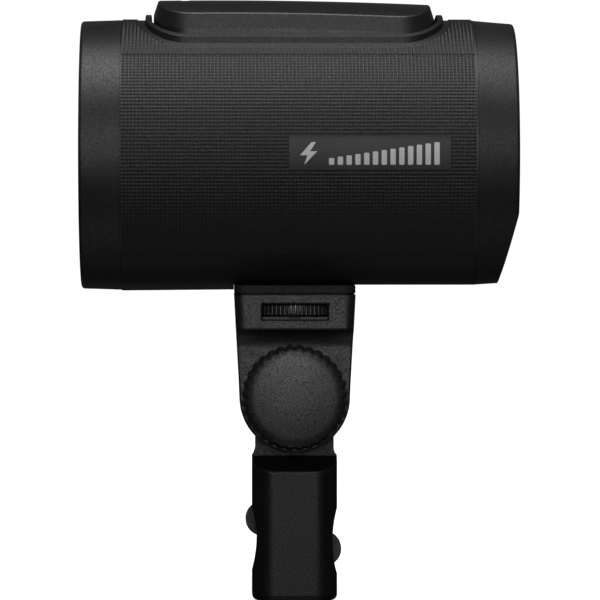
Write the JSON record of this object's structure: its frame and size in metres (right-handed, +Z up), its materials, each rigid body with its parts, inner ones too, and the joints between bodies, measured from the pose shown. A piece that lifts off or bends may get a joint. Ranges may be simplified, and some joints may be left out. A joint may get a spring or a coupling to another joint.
{
  "type": "monolight strobe",
  "caption": "Compact cylindrical battery-powered studio flash head on a tilting stand adapter, with a clip-in battery on top, rear controls and a socket for a light-stand spigot.",
  "frame": {"origin": "centre of the stand socket's mouth, on the bottom face of the base", "axes": "+Z up along the socket; +X towards the rear controls, so the light leaves towards -X; the tilt knob faces -Y"},
  "size_m": [0.1345, 0.0846, 0.1868],
  "materials": {
    "satin_black": "fine-grained satin",
    "textured_black": "moulded grid of small dimples, satin",
    "battery_black": "fine-grained satin",
    "adapter_black": "spark-eroded matte, glass-filled nylon",
    "inner_black": "plain moulded",
    "panel_black": "smooth satin",
    "black_rubber": "matte",
    "frosted_glass": "frosted",
    "quartz": "clear",
    "display_glass": "gloss",
    "reflector_metal": "bright faceted",
    "plain_aluminium": "bead-blasted",
    "zinc_steel": "zinc-plated",
    "black_steel": "black oxide",
    "nickel": "nickel plate",
    "brass": "turned",
    "circuit_board": "solder mask",
    "capacitor_sleeve": "shrink sleeve",
    "cell_wrap": "shrink sleeve",
    "lamp_phosphor": "phosphor",
    "white_ceramic": "unglazed ceramic look",
    "white_nylon": "plain",
    "lamp_lens": "diffusing"
  },
  "bodies": {
    "base": {"base_socket": "adapter_black", "pivot_bush": "brass", "friction_washers": "white_nylon"},
    "head": {"front_ring": "satin_black", "side_panel_left": "textured_black", "side_panel_right": "textured_black", "top_cover": "satin_black", "belly_shell": "satin_black", "tripod_insert": "brass", "rear_ring": "satin_black", "front_glass": "frosted_glass", "magnet_carrier": "inner_black", "accessory_magnets": "nickel", "reflector": "reflector_metal", "flash_tube": "quartz", "tube_holder": "white_ceramic", "modelling_light": "lamp_phosphor", "heat_sink": "plain_aluminium", "chassis": "inner_black", "capacitors": "capacitor_sleeve", "main_board": "circuit_board", "trigger_transformer": "inner_black", "control_board": "circuit_board", "battery_connector": "inner_black", "bay_contacts": "brass", "rear_panel": "panel_black", "display_window": "display_glass", "display_module": "inner_black", "panel_screws": "black_steel", "charge_port": "zinc_steel", "mounting_pad": "black_rubber", "yoke": "adapter_black", "yoke_nut": "zinc_steel", "spring_washer": "zinc_steel"},
    "lock_screw": {"lock_screw": "zinc_steel", "pressure_pad": "white_nylon"},
    "wing": {"wing_knob": "adapter_black"},
    "tilt_bolt": {"tilt_bolt": "zinc_steel"},
    "knob": {"tilt_knob": "adapter_black", "knob_cap": "adapter_black"},
    "wheel": {"thumbwheel": "adapter_black", "mounting_screw": "zinc_steel"},
    "battery": {"battery_lid": "battery_black", "battery_case": "battery_black", "battery_terminals": "inner_black", "battery_cells": "cell_wrap", "battery_board": "circuit_board", "charge_lamps": "lamp_lens"},
    "charge_button": {"battery_button": "black_rubber"},
    "latch": {"release_latch": "battery_black"},
    "dial": {"dial": "panel_black"},
    "dial_button": {"dial_button": "satin_black"},
    "power_button": {"power_button": "satin_black"},
    "test_button": {"test_button": "satin_black"},
    "port_flap": {"port_flap": "black_rubber"}
  },
  "joints": [
    {"name": "head_tilt", "type": "hinge", "parent": "base", "child": "head", "pos_m": [0, 0, 0.06335], "axis": [0, 1, 0], "range_deg": [-90, 90]},
    {"name": "bolt_travel", "type": "slide", "parent": "head", "child": "tilt_bolt", "axis": [0, 1, 0], "range_m": [-0.00125, 0]},
    {"name": "knob_turn", "type": "hinge", "parent": "tilt_bolt", "child": "knob", "pos_m": [0, 0, 0.06335], "axis": [0, 1, 0], "range_deg": [-361, 0]},
    {"name": "wheel_turn", "type": "hinge", "parent": "head", "child": "wheel", "pos_m": [0, 0, 0.0905], "axis": [0, 0, 1], "continuous": true},
    {"name": "lock_travel", "type": "slide", "parent": "base", "child": "lock_screw", "axis": [0, -1, 0], "range_m": [0, 0.00101]},
    {"name": "wing_turn", "type": "hinge", "parent": "lock_screw", "child": "wing", "pos_m": [0, 0.02, 0.0187], "axis": [0, -1, 0], "range_deg": [0, 360]},
    {"name": "battery_lift", "type": "slide", "parent": "head", "child": "battery", "axis": [0, 0, 1], "range_m": [0, 0.03]},
    {"name": "charge_press", "type": "slide", "parent": "battery", "child": "charge_button", "axis": [0, 0, -1], "range_m": [0, 0.0005], "stiffness_N_per_m": 600},
    {"name": "latch_slide", "type": "slide", "parent": "battery", "child": "latch", "axis": [-1, 0, 0], "range_m": [0, 0.0014], "stiffness_N_per_m": 400},
    {"name": "dial_turn", "type": "hinge", "parent": "head", "child": "dial", "pos_m": [0.0675, 0, 0.132], "axis": [1, 0, 0], "continuous": true},
    {"name": "dial_press", "type": "slide", "parent": "head", "child": "dial_button", "axis": [-1, 0, 0], "range_m": [0, 0.0006], "stiffness_N_per_m": 600},
    {"name": "power_press", "type": "slide", "parent": "head", "child": "power_button", "axis": [-1, 0, 0], "range_m": [0, 0.0006], "stiffness_N_per_m": 600},
    {"name": "test_press", "type": "slide", "parent": "head", "child": "test_button", "axis": [-1, 0, 0], "range_m": [0, 0.0006], "stiffness_N_per_m": 600},
    {"name": "flap_open", "type": "hinge", "parent": "head", "child": "port_flap", "pos_m": [0.06389, 0, 0.10718], "axis": [0, 1, 0], "range_deg": [0, 100]}
  ],
  "couplings": [
    {"joint": "knob_turn", "follows": "bolt_travel", "rad_per_m": 5026.5},
    {"joint": "lock_travel", "follows": "wing_turn", "m_per_rad": 0.00015915}
  ]
}
